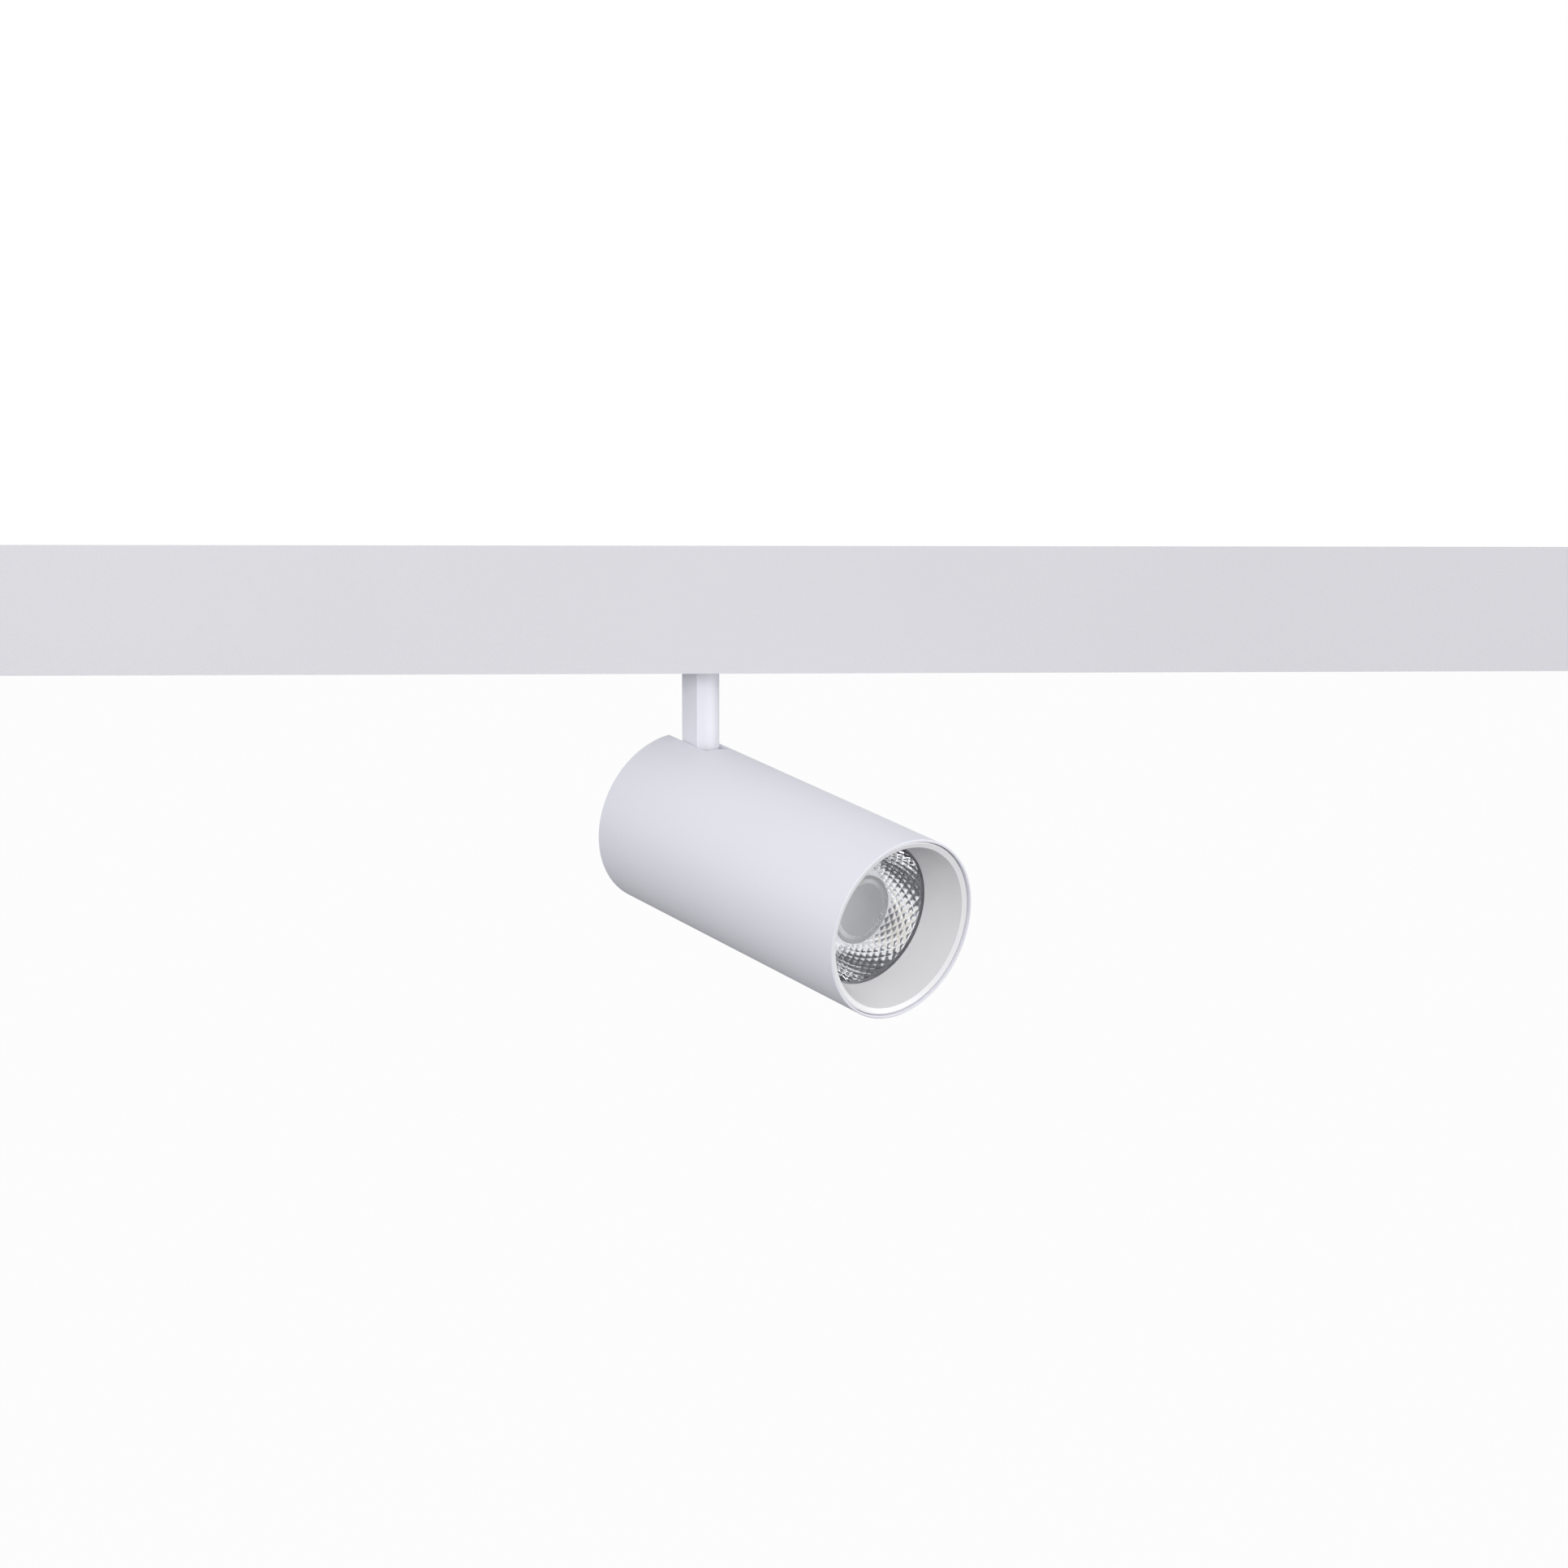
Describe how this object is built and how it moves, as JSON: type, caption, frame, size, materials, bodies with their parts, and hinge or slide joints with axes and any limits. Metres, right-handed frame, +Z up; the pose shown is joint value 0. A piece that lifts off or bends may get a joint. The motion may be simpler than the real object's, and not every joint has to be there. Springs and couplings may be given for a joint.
{
  "type": "track spotlight",
  "caption": "Cylindrical museum spotlight with a deep baffle and collimator lens, tilting on a flat arm that turns in an adapter sliding in a slim surface track.",
  "frame": {"origin": "centre of the track's ceiling face, on the arm's swivel axis", "axes": "+X along the track, +Z up out of the ceiling face, the lamp hangs towards -Z"},
  "size_m": [0.6, 0.1203, 0.1384],
  "materials": {
    "white_coat": "fine satin powder coat",
    "baffle_white": "satin white",
    "white_plastic": "moulded, fine texture",
    "liner_pvc": "extruded PVC",
    "copper": "bright copper",
    "strip_steel": "nickel-plated",
    "screw_steel": "zinc-plated",
    "spring_steel": "bright spring wire",
    "pin_brass": "turned",
    "board_green": "solder-masked board",
    "black_plastic": "moulded",
    "can_aluminium": "satin",
    "lens_clear": "clear moulded acrylic",
    "led_board": "white solder mask on aluminium",
    "phosphor": "silicone over phosphor",
    "pad_grey": "soft",
    "sink_aluminium": "die-cast, blasted",
    "bracket_steel": "zinc-plated sheet",
    "lead_silicone": "silicone-sheathed"
  },
  "bodies": {
    "track": {"track_profile": "white_coat", "steel_strip": "strip_steel", "liner_front": "liner_pvc", "liner_rear": "liner_pvc", "conductors_front": "copper", "conductors_rear": "copper", "end_cap_left": "white_plastic", "end_cap_right": "white_plastic", "end_cap_screws": "screw_steel", "feed_block": "white_plastic"},
    "adapter": {"adapter_housing": "white_plastic", "adapter_lid": "white_plastic", "contact_block": "black_plastic", "contact_springs_front": "spring_steel", "contact_springs_rear": "spring_steel", "driver_board": "board_green", "driver_capacitors": "can_aluminium", "driver_chips": "black_plastic", "driver_inductor": "black_plastic", "latch_spring_left": "spring_steel", "latch_spring_right": "spring_steel", "lead_terminal": "black_plastic", "lead_upper": "lead_silicone", "lid_screws": "screw_steel", "magnets": "strip_steel", "swivel_bush": "pin_brass"},
    "pins_front": {"contact_pins_front": "pin_brass"},
    "pins_rear": {"contact_pins_rear": "pin_brass"},
    "latch_left": {"latch_left": "white_plastic"},
    "latch_right": {"latch_right": "white_plastic"},
    "arm": {"arm": "white_coat", "swivel_stem": "screw_steel", "stop_ring": "screw_steel", "wave_washer": "screw_steel", "swivel_nut": "screw_steel", "lead_arm": "lead_silicone"},
    "head": {"tube": "white_coat", "tube_grub_screw": "screw_steel", "rear_cover": "white_coat", "rear_cover_screws": "screw_steel", "front_baffle": "baffle_white", "lens": "lens_clear", "lens_holder": "white_plastic", "thermal_pad": "pad_grey", "cob_board": "led_board", "cob_phosphor": "phosphor", "cob_holder": "white_plastic", "cob_screws": "screw_steel", "heat_sink": "sink_aluminium", "hinge_bracket": "bracket_steel", "bracket_screws": "screw_steel", "hinge_screw": "screw_steel", "hinge_nut": "screw_steel", "friction_washers": "black_plastic", "lead_head": "lead_silicone"}
  },
  "joints": [
    {"name": "adapter_slide", "type": "slide", "parent": "track", "child": "adapter", "axis": [1, 0, 0], "range_m": [-0.185, 0.23]},
    {"name": "arm_pan", "type": "hinge", "parent": "adapter", "child": "arm", "pos_m": [0, 0, -0.0387], "axis": [0, 0, 1], "range_deg": [-205.5, 134.5]},
    {"name": "head_tilt", "type": "hinge", "parent": "arm", "child": "head", "pos_m": [0, 0, -0.089], "axis": [0.8141, 0.5807, 0], "range_deg": [-6.8, 75.6], "deforming": ["lead_head"]},
    {"name": "pins_front_press", "type": "slide", "parent": "adapter", "child": "pins_front", "axis": [0, 1, 0], "range_m": [0, 0.0012], "stiffness_N_per_m": 300, "springref_m": -0.001, "deforming": ["contact_springs_front"]},
    {"name": "pins_rear_press", "type": "slide", "parent": "adapter", "child": "pins_rear", "axis": [0, -1, 0], "range_m": [0, 0.0012], "stiffness_N_per_m": 300, "springref_m": -0.001, "deforming": ["contact_springs_rear"]},
    {"name": "latch_left_draw", "type": "slide", "parent": "adapter", "child": "latch_left", "axis": [0, -1, 0], "range_m": [0, 0.0014], "stiffness_N_per_m": 300, "springref_m": -0.001, "deforming": ["latch_spring_left"]},
    {"name": "latch_right_draw", "type": "slide", "parent": "adapter", "child": "latch_right", "axis": [0, -1, 0], "range_m": [0, 0.0014], "stiffness_N_per_m": 300, "springref_m": -0.001, "deforming": ["latch_spring_right"]}
  ]
}
